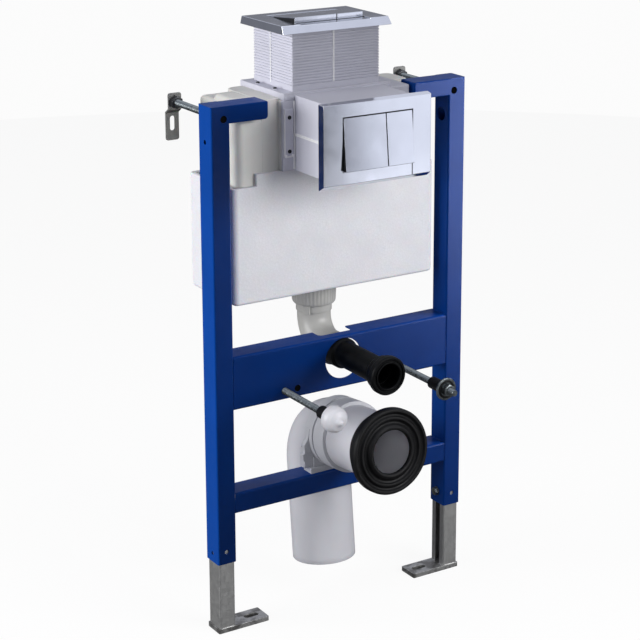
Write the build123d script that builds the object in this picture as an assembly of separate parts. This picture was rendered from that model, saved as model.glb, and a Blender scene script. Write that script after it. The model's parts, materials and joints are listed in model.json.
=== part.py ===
"""Wall hung toilet frame with a concealed cistern, flush plates, pipes and adjustable legs.

Everything is laid out in millimetres in a floor frame: +X to the right, +Y away from the viewer
towards the wall, +Z up, with the feet on Z 0 and the front of the steel frame on Y 0.
At the end every piece is moved so that the row's origin lies on the wall face of the left wall
bracket, below its slot.
"""
import os
from math import radians, tan, cos, sin

from build123d import *

os.makedirs("parts", exist_ok=True)

# ---- driving dimensions ---------------------------------------------------------------------
FRAME_W = 490.0          # outside to outside of the two uprights
POST_W = 34.0            # upright, across
POST_D = 42.0            # upright, front to back
POST_T = 2.0             # wall of the upright
POST_LOW = 125.0         # underside of the uprights with the legs as shown
POST_TOP = 900.0
RETURN_REACH = 104.0     # how far the top return reaches in from the upright's outer face
RETURN_H = 29.0
SHEET = 2.5              # folded sheet of the cross bars

UPPER_BAR = (391.5, 483.0)
LOWER_BAR = (210.0, 246.0)
FLUSH_Z = 452.0          # axis of the flush pipe
FLUSH_HOLE = (443.0, 35.5)
STUD_X, STUD_Z, STUD_R = 115.0, 407.0, 5.9
STUD_CORE = 5.5                    # mean radius of the thread, where nuts and rubber grip it
SPARE_STUD_X = 90.0

TIE_X, TIE_Z = 222.0, 879.0        # wall rods
WALL_Y = 178.0                     # wall plane, the back of the brackets
SLOT_Z = 841.5                     # middle of the bracket slots
SLOT_W, SLOT_LEN = 9.0, 25.0
STRAP_W, STRAP_T, STRAP_STEP = 24.0, 3.0, 10.0
STRAP_PAD = 16.0                   # strap below its slot, where the row's origin lies
ROD_R = 5.9
ROD_END = 3.5                      # rod's end to the wall

JACKET_GAP = 21.0                  # upright to jacket
JACKET_Y0, JACKET_Y1 = 20.0, 172.0
JACKET_Z0, JACKET_Z1 = 560.0, 777.0
JACKET_T = 8.0
JACKET_STEP, JACKET_SHOULDER = 20.0, 37.0
TANK_TOP = 893.0
OUTLET_Y = 95.0                    # axis of the cistern outlet
FLANGE_OUT = 20.0                  # flanges reach this far past the shafts
SHAFT_X = 84.0
TOP_SHAFT = dict(y0=21.0, y1=146.0, z0=905.0, z1=1000.0)
FRONT_SHAFT = dict(z0=777.0, z1=901.0, y0=-91.0, y1=14.0)
PLATE_W, PLATE_H = 204.0, 130.0    # face of a flush plate
PLATE_BASE_W, PLATE_BASE_H = 208.0, 140.0
PLATE_DEEP = 13.0
BTN_HALF_W, BTN_SPLIT = 66.0, 15.0
BTN_TOP, BTN_LEN, BTN_PROUD = 22.0, 87.0, 8.0

BEND_Y, BEND_Z, BEND_TILT = 89.0, 299.0, 6.0   # corner of the soil bend's axes and its lean
SOIL_R, SOIL_T, SOIL_BEND_R = 55.0, 4.0, 64.0
SOIL_DOWN = 240.0
SEAL_R, SEAL_BORE = 75.0, 36.5
NUT_R = 39.0                       # outlet nut under the cistern

CLIP_OUT, CLIP_NECK = 6.0, 3.5     # clip rings over the pipe, and the groove between them

LEG_T, LEG_GAP = 2.0, 0.3
LEG_TOP = 300.0
FOOT_T, FOOT_LEN = 8.0, 96.0

HALF = FRAME_W / 2
INNER = HALF - POST_W            # inner face of an upright
JACKET_X = INNER - JACKET_GAP
FLANGE_X = SHAFT_X + FLANGE_OUT


# ---- helpers --------------------------------------------------------------------------------
def block(x0, x1, y0, y1, z0, z1):
    return Pos((x0 + x1) / 2, (y0 + y1) / 2, (z0 + z1) / 2) * Box(abs(x1 - x0), abs(y1 - y0), abs(z1 - z0))


def rod_y(x, z, r, y0, y1):
    return Pos(x, (y0 + y1) / 2, z) * Rot(90, 0, 0) * Cylinder(r, abs(y1 - y0))


def rod_x(y, z, r, x0, x1):
    return Pos((x0 + x1) / 2, y, z) * Rot(0, 90, 0) * Cylinder(r, abs(x1 - x0))


def rod_z(x, y, r, z0, z1):
    return Pos(x, y, (z0 + z1) / 2) * Cylinder(r, abs(z1 - z0))


def hex_y(x, z, flats, y0, y1):
    nut = extrude(RegularPolygon(flats / 2, 6, major_radius=False), y1 - y0)
    return Pos(x, y1, z) * Rot(90, 0, 0) * nut


def hex_x(y, z, flats, x0, x1):
    nut = extrude(RegularPolygon(flats / 2, 6, major_radius=False), x1 - x0)
    return Pos(x0, y, z) * Rot(0, 90, 0) * nut


def turned_y(points, x, z):
    """Revolve (radius, y) points about the axis along Y through x, z."""
    face = make_face(Polyline(*[(r, y) for r, y in points], close=True))
    body = revolve(face, Axis.Y)
    return Pos(x, 0, z) * body


def mirrored(shape):
    return mirror(shape, Plane.YZ)


# ---- steel frame ----------------------------------------------------------------------------
def upright():
    """Left upright with its welded top return; the right one is its mirror image."""
    cx, cy = -HALF + POST_W / 2, POST_D / 2
    post = extrude(Pos(cx, cy, POST_LOW) * RectangleRounded(POST_W, POST_D, 3.0), POST_TOP - POST_LOW)
    arm = block(-INNER - 8, -HALF + RETURN_REACH, 0, POST_D, POST_TOP - RETURN_H, POST_TOP)
    end = arm.faces().sort_by(Axis.X)[-1].edges().filter_by(Axis.Y)
    low_corner = end.sort_by(Axis.Z)[0]
    arm = fillet([low_corner], 6.0)
    top_corner = arm.edges().filter_by(Axis.Y).sort_by(Axis.X)[-1]
    arm = fillet([top_corner], 2.5)
    arm = fillet(arm.edges().filter_by(Axis.X), 2.0)
    shape = post + arm
    shape -= extrude(Pos(cx, cy, POST_LOW - 1) * RectangleRounded(POST_W - 2 * POST_T, POST_D - 2 * POST_T, 1.0),
                     POST_TOP - POST_LOW + 1 - POST_T)
    shape -= block(-INNER - POST_T - 1, -HALF + RETURN_REACH - POST_T, POST_T, POST_D - POST_T,
                   POST_TOP - RETURN_H + POST_T, POST_TOP - POST_T)
    shape -= rod_y(-TIE_X, TIE_Z, 6.1, -1, POST_D + 1)                 # wall rod passes through
    shape -= rod_x(POST_D / 2, 841.0, 3.8, -HALF - 1, -HALF + 5)       # side hole
    shape -= rod_x(POST_D / 2 + 1, 836.0, 11.5, -INNER - 5, -INNER + 1)  # access hole, inner side
    shape -= rod_x(POST_D / 2, 140.0, 3.4, -HALF - 1, -HALF + 5)
    shape -= rod_y(-HALF + 16, 146.0, 3.9, -1, 5)
    shape -= rod_x(POST_D / 2, 147.0, 4.3, -INNER - 5, -INNER + 1)     # leg bolt
    return shape


def cross_bar(z0, z1, lip):
    """Folded channel between the uprights, open at the back."""
    bar = block(-INNER, INNER, 0, POST_D, z0, z1)
    bar = fillet(bar.edges().filter_by(Axis.X).group_by(Axis.Y)[0], 4.0)
    bar -= block(-INNER - 1, INNER + 1, SHEET, POST_D + 1, z0 + SHEET, z1 - SHEET)
    bar -= block(-INNER - 1, INNER + 1, lip, POST_D + 1, z0 - 1, z0 + SHEET + 0.01)
    return bar


def upper_crossbar():
    bar = cross_bar(*UPPER_BAR, lip=26.0)
    bar -= rod_y(0, FLUSH_HOLE[0], FLUSH_HOLE[1], -1, 6)
    for s in (-1, 1):
        bar -= rod_y(s * STUD_X, STUD_Z, 6.1, -1, 6)
        bar -= rod_y(s * SPARE_STUD_X, STUD_Z, 6.1, -1, 6)
    notch = block(-36, 30, 19, POST_D + 10, UPPER_BAR[1] - 5, UPPER_BAR[1] + 1)
    bar -= fillet(notch.edges().filter_by(Axis.Z).group_by(Axis.Y)[0], 8.0)
    return bar


def lower_crossbar():
    bar = cross_bar(*LOWER_BAR, lip=42.0)
    notch = block(-58, 58, 22, POST_D + 10, LOWER_BAR[0] - 1, LOWER_BAR[1] + 1)
    bar -= fillet(notch.edges().filter_by(Axis.Z).group_by(Axis.Y)[0], 12.0)
    return bar


# ---- wall ties ------------------------------------------------------------------------------
def wall_rod():
    return rod_y(-TIE_X, TIE_Z, ROD_R, 3.0, WALL_Y - ROD_END)


def rod_nuts():
    back = WALL_Y - STRAP_STEP - STRAP_T
    nut = hex_y(-TIE_X, TIE_Z, 19.0, back - 10.0, back) - rod_y(-TIE_X, TIE_Z, ROD_R, back - 15, back + 5)
    return nut


def wall_bracket():
    """Z shaped strap: the upper part takes the rod, the lower part lies on the wall."""
    half, t, step = STRAP_W / 2, STRAP_T, STRAP_STEP
    top, knee = TIE_Z + 15.0, TIE_Z - 11.5
    low = SLOT_Z - SLOT_LEN / 2 - STRAP_PAD
    front = WALL_Y - step - t
    pts = [(front, top), (front + t, top), (front + t, knee), (WALL_Y, knee - 6.5), (WALL_Y, low), (WALL_Y - t, low),
           (WALL_Y - t, knee - 8.1), (front, knee - 1.6)]
    strap = extrude(Plane.YZ * make_face(Polyline(*pts, close=True)), half, both=True)
    bends = [e for e in strap.edges().filter_by(Axis.X) if knee - 9 < e.center().Z < knee + 1]
    strap = fillet(bends, t * 0.45)
    corners = [e for e in strap.edges().filter_by(Axis.Y) if not knee - 9 < e.center().Z < knee + 1]
    strap = Pos(-TIE_X, 0, 0) * fillet(corners, 4.0)
    strap -= rod_y(-TIE_X, TIE_Z, ROD_R + 0.05, front - 5, front + t + 5)
    end = (SLOT_LEN - SLOT_W) / 2
    y0, y1 = WALL_Y - t - 4, WALL_Y + 4
    slot = rod_y(-TIE_X, SLOT_Z + end, SLOT_W / 2, y0, y1) + rod_y(-TIE_X, SLOT_Z - end, SLOT_W / 2, y0, y1) \
        + block(-TIE_X - SLOT_W / 2, -TIE_X + SLOT_W / 2, y0, y1, SLOT_Z - end, SLOT_Z + end)
    return strap - slot


# ---- legs -----------------------------------------------------------------------------------
def leg():
    """Lipped channel that slides in the upright, its slot facing inwards."""
    w, d = POST_W - 2 * POST_T - 2 * LEG_GAP, POST_D - 2 * POST_T - 2 * LEG_GAP
    cx, cy = -HALF + POST_W / 2, POST_D / 2
    tube = extrude(Pos(cx, cy, FOOT_T) * RectangleRounded(w, d, 3.0), LEG_TOP - FOOT_T)
    tube -= extrude(Pos(cx, cy, FOOT_T - 1) * RectangleRounded(w - 2 * LEG_T, d - 2 * LEG_T, 1.0), LEG_TOP)
    tube -= block(cx + 5, cx + w, cy - 6.5, cy + 6.5, FOOT_T - 1, LEG_TOP + 1)
    return tube


def foot_plate():
    x0 = -HALF
    plate = block(x0, x0 + FOOT_LEN, 1, 41, 0, FOOT_T)
    plate = fillet(plate.edges().filter_by(Axis.Z), 2.5)
    slot = rod_z(x0 + 64, 21, 5.5, -1, 12) + rod_z(x0 + 80, 21, 5.5, -1, 12) \
        + block(x0 + 64, x0 + 80, 15.5, 26.5, -1, 12)
    return plate - slot


def leg_bolt():
    """Hexagon bolt through the upright's inner wall, with its clamp nut inside the channel."""
    z, y = 147.0, POST_D / 2
    bolt = hex_x(y, z, 13.0, -INNER + 1.6, -INNER + 7.0) + rod_x(y, z, 8.0, -INNER, -INNER + 1.6)
    bolt += rod_x(y, z, 4.0, -INNER - 13.0, -INNER + 2)
    bolt += block(-INNER - 10.5, -INNER - 5.0, y - 10, y + 10, z - 8, z + 8)
    return bolt


# ---- cistern --------------------------------------------------------------------------------
def tank():
    t = JACKET_T
    x, y0, y1 = JACKET_X - t, JACKET_Y0 + t, JACKET_Y1 - t
    low = block(-x, x, y0, y1, JACKET_Z0 + t, 866)
    high = block(-x, x, POST_D, y1, 860, TANK_TOP)
    body = low + high
    neck = block(-FLANGE_X - 3, FLANGE_X + 3, JACKET_Y0, POST_D + 10, JACKET_Z1, TANK_TOP)
    body += neck
    top = body.edges().filter_by(Axis.Y).group_by(Axis.Z)[-1]
    ends = [e for e in top if abs(e.center().X) > FLANGE_X + 20]
    body = fillet(ends, 32.0)
    wall = 3.5
    inner = block(-x + wall, x - wall, POST_D + wall, y1 - wall, JACKET_Z0 + t + wall, TANK_TOP - 24)
    inner += block(-x + wall, x - wall, y0 + wall, y1 - wall, JACKET_Z0 + t + wall, 862)
    body -= inner
    body -= rod_z(0, OUTLET_Y, 26.0, JACKET_Z0, JACKET_Z0 + t + 10)
    return body


def jacket_half(front):
    x, t = JACKET_X, JACKET_T
    mid = (JACKET_Y0 + JACKET_Y1) / 2
    ya, yb = (JACKET_Y0, mid) if front else (mid, JACKET_Y1)
    low_top = JACKET_Z1 - JACKET_STEP
    shell = block(-x, x, ya, yb, JACKET_Z0, JACKET_Z1 if front else low_top)
    outer_y = ya if front else yb
    verticals = [e for e in shell.edges().filter_by(Axis.Z) if abs(e.center().Y - outer_y) < 1]
    shell = fillet(verticals, 10.0)
    low = [e for e in shell.faces().sort_by(Axis.Z)[0].edges() if abs(e.center().Y - mid) > 1]
    shell = fillet(low, 6.0)
    shell -= block(-x + t, x - t, JACKET_Y0 + t, JACKET_Y1 - t, JACKET_Z0 + t, JACKET_Z1 + 1)
    if front:
        for s in (-1, 1):
            shell -= block(s * (x - JACKET_SHOULDER), s * (x + 10), JACKET_Y0 - 1, mid + 1, low_top, JACKET_Z1 + 1)
    shell -= rod_z(0, OUTLET_Y, NUT_R + 0.3, JACKET_Z0 - 1, JACKET_Z0 + t + 1)
    return shell


def top_flange():
    plate = block(-FLANGE_X, FLANGE_X, FRONT_SHAFT["y1"], 158, TANK_TOP, TOP_SHAFT["z0"])
    plate = fillet(plate.edges().filter_by(Axis.Z), 3.0)
    plate -= block(-SHAFT_X + 3, SHAFT_X - 3, TOP_SHAFT["y0"] + 3, TOP_SHAFT["y1"] - 3, TANK_TOP - 1,
                   TOP_SHAFT["z0"] + 5)
    return plate


def front_flange():
    f = FRONT_SHAFT
    plate = block(-FLANGE_X - 2, FLANGE_X + 2, f["y1"], JACKET_Y0, f["z0"], TANK_TOP)
    for s in (-1, 1):
        plate += block(s * (SHAFT_X + 4), s * FLANGE_X, f["y1"] - 2.5, f["y1"], 802, 880)
    plate -= block(-SHAFT_X + 3, SHAFT_X - 3, f["y1"] - 4, JACKET_Y0 + 10, f["z0"] + 3, TANK_TOP - 3)
    return plate


def top_shaft():
    s = TOP_SHAFT
    wall = block(-SHAFT_X, SHAFT_X, s["y0"], s["y1"], s["z0"], s["z1"])
    wall -= block(-SHAFT_X + 3, SHAFT_X - 3, s["y0"] + 3, s["y1"] - 3, s["z0"] - 1, s["z1"] + 1)
    pitch = 4.7
    z = s["z0"] + 9.5
    while z < s["z1"] - 4:
        ring = block(-SHAFT_X - 1, SHAFT_X + 1, s["y0"] - 1, s["y1"] + 1, z, z + 1.7)
        ring -= block(-SHAFT_X + 0.9, SHAFT_X - 0.9, s["y0"] + 0.9, s["y1"] - 0.9, z - 1, z + 3)
        wall -= ring
        z += pitch
    for x in (-SHAFT_X, SHAFT_X - 3):        # cheeks that carry the plate
        wall += block(x, x + 3, s["y0"] + 13, s["y1"] - 12, s["z1"], s["z1"] + PLATE_DEEP - 3.2)
    return wall


def front_shaft():
    f = FRONT_SHAFT
    wall = block(-SHAFT_X, SHAFT_X, f["y0"], f["y1"], f["z0"], f["z1"])
    wall -= block(-SHAFT_X + 3, SHAFT_X - 3, f["y0"] - 1, f["y1"] + 1, f["z0"] + 3, f["z1"] - 3)
    for x in (-SHAFT_X, SHAFT_X - 3):
        wall += block(x, x + 3, f["y0"] - PLATE_DEEP + 3.2, f["y0"], f["z0"] + 12, f["z1"] - 14)
    return wall


# ---- flush plates, drawn lying flat ---------------------------------------------------------
# Local frame of a plate: u to the right, v from the finger edge up to the far edge, w out of the face.
def flush_plate():
    """Face with a sloping rim all round, the finger edge sloping most, and a stepped finger strip."""
    base = Plane.XY * Rectangle(PLATE_BASE_W, PLATE_BASE_H)
    face = Plane.XY.offset(PLATE_DEEP) * Pos(0, 3.2) * Rectangle(PLATE_W, PLATE_H)
    solid = loft([base, face])
    inner_base = Plane.XY.offset(-0.01) * Rectangle(PLATE_BASE_W - 4.4, PLATE_BASE_H - 4.4)
    inner_face = Plane.XY.offset(PLATE_DEEP - 3.2) * Pos(0, 3.0) * Rectangle(PLATE_W - 4.4, PLATE_H - 5.0)
    solid -= loft([inner_base, inner_face])
    far = 3.2 + PLATE_H / 2 - BTN_TOP
    near = 3.2 - PLATE_H / 2
    solid -= block(-BTN_HALF_W - 0.6, BTN_HALF_W + 0.6, far - BTN_LEN - 1.2, far + 0.6, -1, PLATE_DEEP + 1)
    # finger strip: a shallow step from the buttons to the near edge
    strip = block(-BTN_HALF_W - 0.6, BTN_HALF_W + 0.6, near - 1, far - BTN_LEN - 1.2, PLATE_DEEP - 1.4, PLATE_DEEP + 1)
    solid -= strip
    return solid


def flush_button(u0, u1):
    """Wedge that stands proud at the finger edge and pivots at the far edge."""
    far = 3.2 + PLATE_H / 2 - BTN_TOP
    pts = [(far, PLATE_DEEP - 0.2), (far - BTN_LEN, PLATE_DEEP + BTN_PROUD), (far - BTN_LEN, PLATE_DEEP - 9.0),
           (far, PLATE_DEEP - 6.0)]
    face = Plane.YZ * make_face(Polyline(*pts, close=True))
    body = extrude(face, u1 - u0)
    body = Pos(u0, 0, 0) * body
    hollow_pts = [(far - 3, PLATE_DEEP - 3.2), (far - BTN_LEN + 3, PLATE_DEEP + BTN_PROUD - 3.4),
                  (far - BTN_LEN + 3, PLATE_DEEP - 12), (far - 3, PLATE_DEEP - 12)]
    hollow = Plane.YZ * make_face(Polyline(*hollow_pts, close=True))
    hollow = Pos(u0 + 2.5, 0, 0) * extrude(hollow, u1 - u0 - 5)
    return body - hollow


BUTTONS = {"large": (-BTN_HALF_W, BTN_SPLIT - 0.5), "small": (BTN_SPLIT + 0.5, BTN_HALF_W)}
ON_TOP = Pos(0, (TOP_SHAFT["y0"] + TOP_SHAFT["y1"]) / 2 + 0.5, TOP_SHAFT["z1"])
ON_FRONT = Pos(0, FRONT_SHAFT["y0"], (FRONT_SHAFT["z0"] + FRONT_SHAFT["z1"]) / 2 - 3) * Rot(90, 0, 0)


# ---- flush pipework -------------------------------------------------------------------------
def outlet_nut():
    top = JACKET_Z0 + JACKET_T
    nut = rod_z(0, OUTLET_Y, NUT_R, top - 49, top)
    nut -= rod_z(0, OUTLET_Y, 31.0, top - 50, top + 2)
    for i in range(12):
        a = radians(30 * i)
        nut -= rod_z((NUT_R + 0.8) * cos(a), OUTLET_Y + (NUT_R + 0.8) * sin(a), 2.2, top - 49, top - 16)
    return nut


def quarter(r, leg_up, bend_r, leg_out):
    up = Pos(0, 0, bend_r) * extrude(Circle(r), leg_up - bend_r)
    out = Pos(0, -bend_r, 0) * Rot(90, 0, 0) * extrude(Circle(r), leg_out - bend_r)
    ring = Pos(0, 0, bend_r) * revolve(Circle(r), Axis((0, -bend_r, 0), (-1, 0, 0)), 90)
    return up + out + ring


def flush_bend():
    """Light grey bend from the cistern outlet down and forward."""
    at = Pos(0, OUTLET_Y, FLUSH_Z)
    tube = at * (quarter(29.0, 65, 46, 65) - quarter(26.0, 66, 46, 66))
    top = JACKET_Z0 + JACKET_T
    neck = rod_z(0, OUTLET_Y, 30.9, top - 63, top) - rod_z(0, OUTLET_Y, 26.0, top - 64, top + 1)
    return tube + neck


def flush_pipe():
    pipe = turned_y([(20, 30), (26.5, 30), (26.5, -3), (22.5, -6), (22.5, -112), (20, -112)], 0, FLUSH_Z)
    return pipe


def flush_collar():
    pts = [(21, -112), (27.5, -112), (29, -115), (29, -124), (31.5, -125.5), (33, -128), (33, -137), (31, -140), (21, -140)]
    return turned_y(pts, 0, FLUSH_Z)


# ---- soil pipework --------------------------------------------------------------------------
SOIL = Pos(0, BEND_Y, BEND_Z) * Rot(-BEND_TILT, 0, 0)


def ring_s(r_out, r_in, s0, s1):
    """Ring on the outgoing arm of the soil bend, s measured from the corner."""
    return SOIL * (rod_y(0, 0, r_out, -s0, -s1) - rod_y(0, 0, r_in, -s0 + 1, -s1 - 1))


def soil_bend():
    body = quarter(SOIL_R, SOIL_DOWN, SOIL_BEND_R, 103) - quarter(SOIL_R - SOIL_T, SOIL_DOWN + 1, SOIL_BEND_R, 104)
    return SOIL * mirror(body, Plane.XY)


def pan_spigot():
    return ring_s(SOIL_R, SOIL_R - SOIL_T, 103.3, 233)


def pan_seal():
    pts = [(55.05, -205), (61, -205), (63, -210), (65, -219), (70.5, -223), (72.5, -226), (72.5, -236), (70, -239),
           (66, -239), (64, -236), (59.5, -236), (57.5, -239), (54, -239), (52, -236), (47, -236), (45, -239.5),
           (39, -242), (SEAL_BORE, -240), (SEAL_BORE, -234), (55.05, -233.2)]
    face = make_face(Polyline(*[(r, y) for r, y in pts], close=True))
    return SOIL * revolve(face, Axis.Y)


def pipe_clip():
    s0, s1 = SOIL_BEND_R + 0.2, 121.0
    mid = 88.0
    bore = SOIL_R + 0.05
    ring = ring_s(SOIL_R + CLIP_NECK, bore, s0, s1)
    ring += ring_s(SOIL_R + CLIP_OUT, bore, s0, mid - 2.5) + ring_s(SOIL_R + CLIP_OUT, bore, mid + 2.5, s1)
    top = LOWER_BAR[1]
    foot = block(-62, 62, 4, 28, top, top + 9)
    web = block(-54, 54, 8, 26, top, top + 26)
    latch = block(-70, -50, 12, 26, top + 9, top + 44)
    clip = foot + web + latch + ring
    clip -= SOIL * mirror(quarter(bore, SOIL_DOWN, SOIL_BEND_R, 140), Plane.XY)
    clip -= block(-80, 80, -40, POST_D + 4, top - 12, top)      # stands on the bar
    return clip


# ---- pan studs ------------------------------------------------------------------------------
def stud(front, bare):
    """Stud to Y front, at its full diameter between the bar and Y bare, where its rubber sleeve starts."""
    rod = rod_y(0, STUD_Z, STUD_CORE, 16.0, front) + rod_y(0, STUD_Z, STUD_R, 0, bare)
    rod += hex_y(0, STUD_Z, 19.0, SHEET, 12.5)
    return rod


def stud_sleeve(y0, y1):
    return rod_y(0, STUD_Z, 10.5, y1, y0) - rod_y(0, STUD_Z, STUD_CORE, y1 - 1, y0 + 1)


def stud_cap():
    pts = [(STUD_CORE, -146), (20.5, -146), (22, -148.5), (22, -156), (20.5, -162), (16, -168), (8.5, -172), (6, -174),
           (3, -179), (0, -180), (0, -151), (STUD_CORE, -151)]
    return turned_y(pts, 0, STUD_Z)


def stud_washer():
    return rod_y(0, STUD_Z, 19.5, -135, -138.5) - rod_y(0, STUD_Z, STUD_R, -130, -145)


def stud_nut():
    return hex_y(0, STUD_Z, 19.0, -149, -138.5) - rod_y(0, STUD_Z, STUD_CORE, -130, -155)


# ---- assembly -------------------------------------------------------------------------------
def everything():
    nodes = {}
    post, rod, nut, strap = upright(), wall_rod(), rod_nuts(), wall_bracket()
    channel, plate, bolt = leg(), foot_plate(), leg_bolt()
    for name, shape in (("upright", post), ("wall_rod", rod), ("rod_nut", nut), ("wall_bracket", strap),
                        ("leg", channel), ("foot_plate", plate), ("leg_bolt", bolt)):
        nodes["left_" + name] = shape
        nodes["right_" + name] = mirrored(shape)
    nodes["upper_crossbar"] = upper_crossbar()
    nodes["lower_crossbar"] = lower_crossbar()
    nodes["cistern_tank"] = tank()
    nodes["jacket_front"] = jacket_half(True)
    nodes["jacket_back"] = jacket_half(False)
    nodes["top_flange"] = top_flange()
    nodes["front_flange"] = front_flange()
    nodes["top_shaft"] = top_shaft()
    nodes["front_shaft"] = front_shaft()
    for side, place in (("top", ON_TOP), ("front", ON_FRONT)):
        nodes[side + "_plate"] = place * flush_plate()
        for size, span in BUTTONS.items():
            nodes[f"{side}_{size}_button"] = place * flush_button(*span)
    nodes["outlet_nut"] = outlet_nut()
    nodes["flush_bend"] = flush_bend()
    nodes["flush_pipe"] = flush_pipe()
    nodes["flush_collar"] = flush_collar()
    nodes["soil_bend"] = soil_bend()
    nodes["pan_spigot"] = pan_spigot()
    nodes["pan_seal"] = pan_seal()
    nodes["pipe_clip"] = pipe_clip()
    nodes["left_stud"] = Pos(-STUD_X, 0, 0) * stud(-151.0, -115.0)
    nodes["right_stud"] = Pos(STUD_X, 0, 0) * stud(-163.0, -97.0)
    nodes["left_stud_sleeve"] = Pos(-STUD_X, 0, 0) * stud_sleeve(-115.0, -146.0)
    nodes["right_stud_sleeve"] = Pos(STUD_X, 0, 0) * stud_sleeve(-97.0, -135.0)
    nodes["left_stud_cap"] = Pos(-STUD_X, 0, 0) * stud_cap()
    nodes["right_stud_washer"] = Pos(STUD_X, 0, 0) * stud_washer()
    nodes["right_stud_nut"] = Pos(STUD_X, 0, 0) * stud_nut()
    return nodes


HOME = Pos(TIE_X, -WALL_Y, -(SLOT_Z - SLOT_LEN / 2 - STRAP_PAD / 2))

if __name__ == "__main__":
    for node, shape in everything().items():
        export_step(HOME * shape, f"parts/{node}.step")
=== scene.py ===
"""Looks of a wall hung toilet frame, built around its packed model.

Sizes below are millimetres in a floor frame: X to the right, Y towards the wall from the front of the
steel frame, Z up from the soles of the feet. Each piece is turned to the row frame, in metres, once it
is made.
"""

import json
import math

import bmesh
import bpy
from bpy.props import FloatProperty, FloatVectorProperty, PointerProperty
from mathutils import Matrix, Vector, noise

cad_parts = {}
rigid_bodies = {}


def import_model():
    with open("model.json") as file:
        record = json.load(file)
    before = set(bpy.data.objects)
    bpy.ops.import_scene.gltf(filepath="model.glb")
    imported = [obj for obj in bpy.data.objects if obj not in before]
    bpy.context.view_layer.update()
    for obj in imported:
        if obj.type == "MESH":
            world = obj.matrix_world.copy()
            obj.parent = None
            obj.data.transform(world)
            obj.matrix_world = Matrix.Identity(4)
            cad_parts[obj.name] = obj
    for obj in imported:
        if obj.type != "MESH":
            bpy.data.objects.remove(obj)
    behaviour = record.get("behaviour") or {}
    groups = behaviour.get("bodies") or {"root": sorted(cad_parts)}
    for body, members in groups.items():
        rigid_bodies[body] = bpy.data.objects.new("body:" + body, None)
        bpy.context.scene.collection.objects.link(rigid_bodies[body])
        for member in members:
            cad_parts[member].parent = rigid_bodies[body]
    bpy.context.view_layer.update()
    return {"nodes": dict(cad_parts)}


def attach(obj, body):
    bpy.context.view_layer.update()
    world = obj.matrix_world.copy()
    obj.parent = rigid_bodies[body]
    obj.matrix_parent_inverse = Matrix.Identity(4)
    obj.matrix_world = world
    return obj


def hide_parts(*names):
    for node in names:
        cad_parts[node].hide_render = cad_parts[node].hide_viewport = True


bl_info = {
    "name": "Wall Hung Toilet Frame",
    "version": (1, 0, 0),
    "blender": (4, 5, 0),
    "location": "3D View > Sidebar > Toilet Frame",
    "description": "Dresses the packed toilet frame with its finishes, fittings and studio",
    "category": "Object",
}

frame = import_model()
NODES = frame["nodes"]

# ---- sizes shared with the packed model, in millimetres of the floor frame ----
ORIGIN = Vector((-222.0, 178.0, 821.0))
HALF, INNER, POST_D = 245.0, 211.0, 42.0  # outer and inner face of a post, and its depth
UPPER_BAR, LOWER_BAR = (391.5, 483.0), (210.0, 246.0)
TIE_X, TIE_Z = 222.0, 879.0
ROD_R, M12_FLATS, M8_FLATS = 5.9, 19.0, 13.0
STUD_X, SPARE_X, STUD_Z = 115.0, 90.0, 407.0
FLUSH_Z, OUTLET_Y = 452.0, 95.0
JACKET_X, JACKET_LOW = 190.0, 560.0
JACKET_END, JACKET_MORE = 165.0, 6.0  # beyond END the foam stands further out by MORE
TANK_TOP, SHOULDER_TOP = 893.0, 896.2
SHAFT_X, SHAFT_WALL = 84.0, 3.0
TOP_SHAFT_Y, TOP_SHAFT_Z = (21.0, 146.0), (905.0, 1000.0)
FRONT_SHAFT_Y, FRONT_SHAFT_Z = (-91.0, 14.0), (777.0, 901.0)
RIB_PITCH, GROOVE_DEEP, GROOVE_WIDE, GROOVE_FLANK = 4.7, 1.7, 2.0, 0.4
PLATE_DEEP, PLATE_H, PLATE_SHIFT = 13.0, 130.0, 3.2
BTN_FAR = PLATE_SHIFT + PLATE_H / 2 - 22.0
BTN_LEN, BTN_PROUD = 87.0, 8.0
BUTTON_SPANS = {"large": (-66.0, 14.5), "small": (15.5, 66.0)}
SOIL_CORNER, SOIL_TILT = (0.0, 89.0, 299.0), 6.0
SOIL_R, SOIL_T, SOIL_BEND_R, SOIL_DOWN = 55.0, 4.0, 64.0, 240.0
SIDES = (("left", -1), ("right", 1))

MM = 0.001
MERGE, SLIVER, FLAT = 0.004, 0.0005, math.radians(0.6)  # what counts as one vertex, no face, one plane


def turned_by(degrees, axis):
    return Matrix.Rotation(math.radians(degrees), 4, axis)


TO_ROW = Matrix.Scale(MM, 4) @ Matrix.Translation(-ORIGIN)
FRONTWARD = turned_by(90, "X")  # local Z runs towards the viewer
ALONG_X = Matrix(((0, 0, 1, 0), (1, 0, 0, 0), (0, 1, 0, 0), (0, 0, 0, 1)))  # an outline in YZ, drawn out in X
ALONG_Y = Matrix(((1, 0, 0, 0), (0, 0, 1, 0), (0, 1, 0, 0), (0, 0, 0, 1)))  # an outline in XZ, drawn out in Y
SOIL = Matrix.Translation(SOIL_CORNER) @ turned_by(-SOIL_TILT, "X")
ON_TOP = Matrix.Translation((0.0, sum(TOP_SHAFT_Y) / 2 + 0.5, TOP_SHAFT_Z[1]))
ON_FRONT = Matrix.Translation((0.0, FRONT_SHAFT_Y[0], sum(FRONT_SHAFT_Z) / 2 - 3)) @ FRONTWARD


def place(x, y, z, turn=Matrix()):
    return Matrix.Translation((x, y, z)) @ turn


def facing(x, z, y=0.0):
    """A place whose local Z runs towards the viewer."""
    return place(x, y, z, FRONTWARD)


# ---- colours ----
def linear(hex_colour):
    """Scene-linear red, green and blue of an sRGB hex colour."""
    out = []
    for i in (0, 2, 4):
        c = int(hex_colour[i:i + 2], 16) / 255
        out.append(c / 12.92 if c <= 0.04045 else ((c + 0.055) / 1.055) ** 2.4)
    return tuple(out)


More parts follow.
